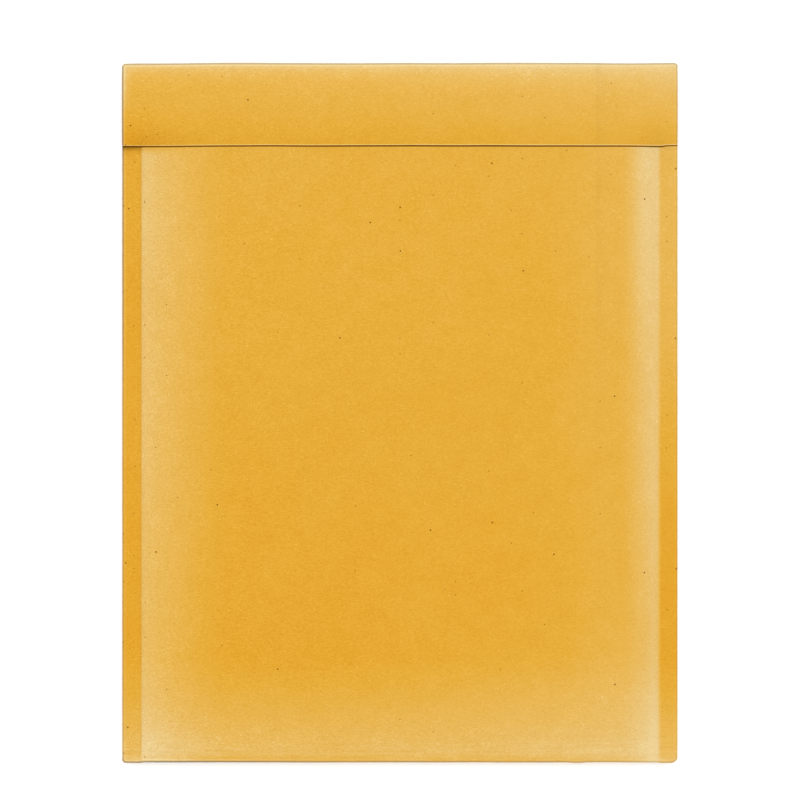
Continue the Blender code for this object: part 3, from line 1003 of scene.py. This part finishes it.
def bubble_cells(across, along):
    """Where the points of a cell move to, and how high the bubble stands at each.

    The square rings of a cell become round ones: a ring's size picks an angle from 0 in the middle to 90
    degrees at the bubble's foot, its radius goes by the angle's sine and its height by the cosine, a
    little flattened. The cell's own border stays square.
    """
    foot = 1 - 2 / BUBBLE_STEPS
    u, v = np.broadcast_arrays(cell_places(across), cell_places(along)[:, None])
    ring = np.maximum(abs(u), abs(v))
    angle = np.pi / 2 * np.minimum(ring / foot, 1)
    scale = 0.82 * np.sin(angle) / np.maximum(np.hypot(u, v), 1e-9)
    border = ring > foot + 1e-9
    height = np.where(border, 0, np.cos(angle) ** 0.7)
    return np.where(border, u, u * scale) - u, np.where(border, v, v * scale) - v, height


def bubble_film(shape, finish):
    """Bubble film folded at the bottom: its flat side lies on the paper, its bubbles face the pocket.

    The grid's parameters are x and the share of the way from the bottom fold to the mouth, on the back
    and then on the front. Each point is moved within its cell, put on the paper's height functions, and
    shifted inwards along the normals. A bubble lifts it from there towards the middle of the pocket.
    """
    sizes = shape.sizes
    width = LINING_HIGH.x - LINING_LOW.x
    body = shape.body_length()
    reach = (LINING_HIGH.y - shape.mouth) / body + 1
    across = round(width / sizes.pitch)
    along = round(reach * body / sizes.pitch)
    right, up, height = bubble_cells(across, along)
    lines = np.linspace(LINING_LOW.x, LINING_HIGH.x, across * BUBBLE_STEPS + 1)
    x = lines + right * width / across / 2
    part = np.linspace(0, reach, along * BUBBLE_STEPS + 1)[:, None] + up * reach / along / 2
    angles = np.linspace(-np.pi / 2, np.pi / 2, FOLD_STEPS // 2 + 1)[1:-1]
    stretches = [
        shape.panel(x[::-1], part[::-1], shape.back_height),
        shape.bottom_fold(lines, angles),
        shape.panel(x, part, shape.front_height),
    ]
    middle = np.concatenate(stretches)
    plain = np.zeros_like(stretches[1][..., 0])
    lift = np.concatenate([height[::-1], plain, height])
    side = np.concatenate([height[::-1] * 0 - 1, plain, height * 0 + 1])

    flat = offset(middle, -sizes.paper / 2 - sizes.gap)
    valleys = offset(middle, -sizes.paper / 2 - sizes.gap - sizes.film)
    x, y = valleys[..., 0], valleys[..., 1]
    crown = (shape.front_height(x, y) + shape.back_height(x, y) + side * sizes.pocket) / 2
    room = np.maximum(side * (valleys[..., 2] - crown), 0)
    valleys[..., 2] -= side * room * lift
    outer = numbered(flat)
    inner = numbered(valleys, outer.size)
    faces = quads(outer) + quads(inner) + rim(outer, inner)
    return closed_piece("bubble_film", [flat, valleys], faces, finish)


def new_material_on(node, finish):
    """Puts a finish in every slot of a carried-over piece."""
    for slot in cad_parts[node].material_slots:
        slot.material = finish


def studio_lights(stage):
    """Even white light from all round, and a soft lamp high on the flap's side."""
    world = bpy.data.worlds.new("studio")
    world.use_nodes = True
    background = world.node_tree.nodes["Background"]
    background.inputs["Color"].default_value = (1, 1, 1, 1)
    background.inputs["Strength"].default_value = stage.sky
    bpy.context.scene.world = world
    light = bpy.data.lights.new("soft_lamp", "SUN")
    light.energy = stage.sun
    light.angle = stage.sun_spread
    lamp = linked("soft_lamp", light)
    lamp.rotation_mode = "ZXY"
    lamp.rotation_euler = (-stage.sun_tilt, 0, stage.sun_turn)


def camera_above(stage, height):
    """A long lens that looks straight down, as far up as makes the picture as wide as it should be."""
    lens = bpy.data.cameras.new("camera")
    lens.lens = stage.lens
    distance = stage.view_width * stage.lens / lens.sensor_width
    lens.clip_end = 10 * distance
    camera = linked("camera", lens)
    camera.location = (stage.view_right, stage.view_up, height + distance)
    bpy.context.scene.camera = camera


class ENVELOPE_OT_kraft(bpy.types.Operator):
    """Folds the kraft paper and gives it its finish"""

    bl_idname = "envelope.kraft"
    bl_label = "Kraft Paper"

    def execute(self, context):
        scene = context.scene
        shape = EnvelopeShape(scene.envelope_sizes)
        sheet = kraft_sheet(shape, kraft_finish(scene.envelope_finish))
        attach(sheet, "root")
        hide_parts("kraft_envelope")
        return {"FINISHED"}


class ENVELOPE_OT_lining(bpy.types.Operator):
    """Lays the bubble film in the paper"""

    bl_idname = "envelope.lining"
    bl_label = "Bubble Lining"

    def execute(self, context):
        scene = context.scene
        shape = EnvelopeShape(scene.envelope_sizes)
        lining = bubble_film(shape, film_finish(scene.envelope_finish))
        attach(lining, "root")
        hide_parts("bubble_lining")
        return {"FINISHED"}


class ENVELOPE_OT_flap_strips(bpy.types.Operator):
    """Gives the glue line and its liner their finishes"""

    bl_idname = "envelope.flap_strips"
    bl_label = "Glue Line and Liner"

    def execute(self, context):
        colours = context.scene.envelope_finish
        new_material_on("adhesive_strip", adhesive_finish(colours))
        new_material_on("release_liner", liner_finish(colours))
        return {"FINISHED"}


class ENVELOPE_OT_stage(bpy.types.Operator):
    """Adds the floor, the light and the camera"""

    bl_idname = "envelope.stage"
    bl_label = "Stage"

    def execute(self, context):
        scene = context.scene
        stage = scene.envelope_stage
        half = stage.floor_size / 2
        corners = [(-half, -half, 0), (half, -half, 0), (half, half, 0), (-half, half, 0)]
        mesh = bpy.data.meshes.new("floor")
        mesh.from_pydata(corners, [], [(0, 1, 2, 3)])
        mesh.materials.append(floor_finish(scene.envelope_finish))
        floor = linked("floor", mesh)
        studio_lights(stage)
        camera_above(stage, scene.envelope_sizes.seam_height)
        scene.view_settings.view_transform = "Standard"
        return {"FINISHED"}


class VIEW3D_PT_padded_envelope(bpy.types.Panel):
    """Sizes, finishes and pieces of the padded envelope"""

    bl_label = "Padded Envelope"
    bl_space_type = "VIEW_3D"
    bl_region_type = "UI"
    bl_category = "Envelope"

    def draw(self, context):
        for group in GROUPS:
            settings = getattr(context.scene, group)
            box = self.layout.box()
            for name in settings.__annotations__:
                box.prop(settings, name)
        for operator in OPERATORS:
            self.layout.operator(operator.bl_idname)


GROUPS = {
    "envelope_sizes": EnvelopeSizes,
    "envelope_finish": EnvelopeFinish,
    "envelope_stage": EnvelopeStage,
}
OPERATORS = (ENVELOPE_OT_kraft, ENVELOPE_OT_lining, ENVELOPE_OT_flap_strips, ENVELOPE_OT_stage)


def register():
    for made in (*GROUPS.values(), *OPERATORS, VIEW3D_PT_padded_envelope):
        bpy.utils.register_class(made)
    for name, group in GROUPS.items():
        setattr(bpy.types.Scene, name, bpy.props.PointerProperty(type=group))


def unregister():
    for name in GROUPS:
        delattr(bpy.types.Scene, name)
    for made in (VIEW3D_PT_padded_envelope, *OPERATORS[::-1], *GROUPS.values()):
        bpy.utils.unregister_class(made)


def main():
    register()
    bpy.ops.envelope.kraft()
    bpy.ops.envelope.lining()
    bpy.ops.envelope.flap_strips()
    bpy.ops.envelope.stage()


if __name__ == "__main__":
    main()
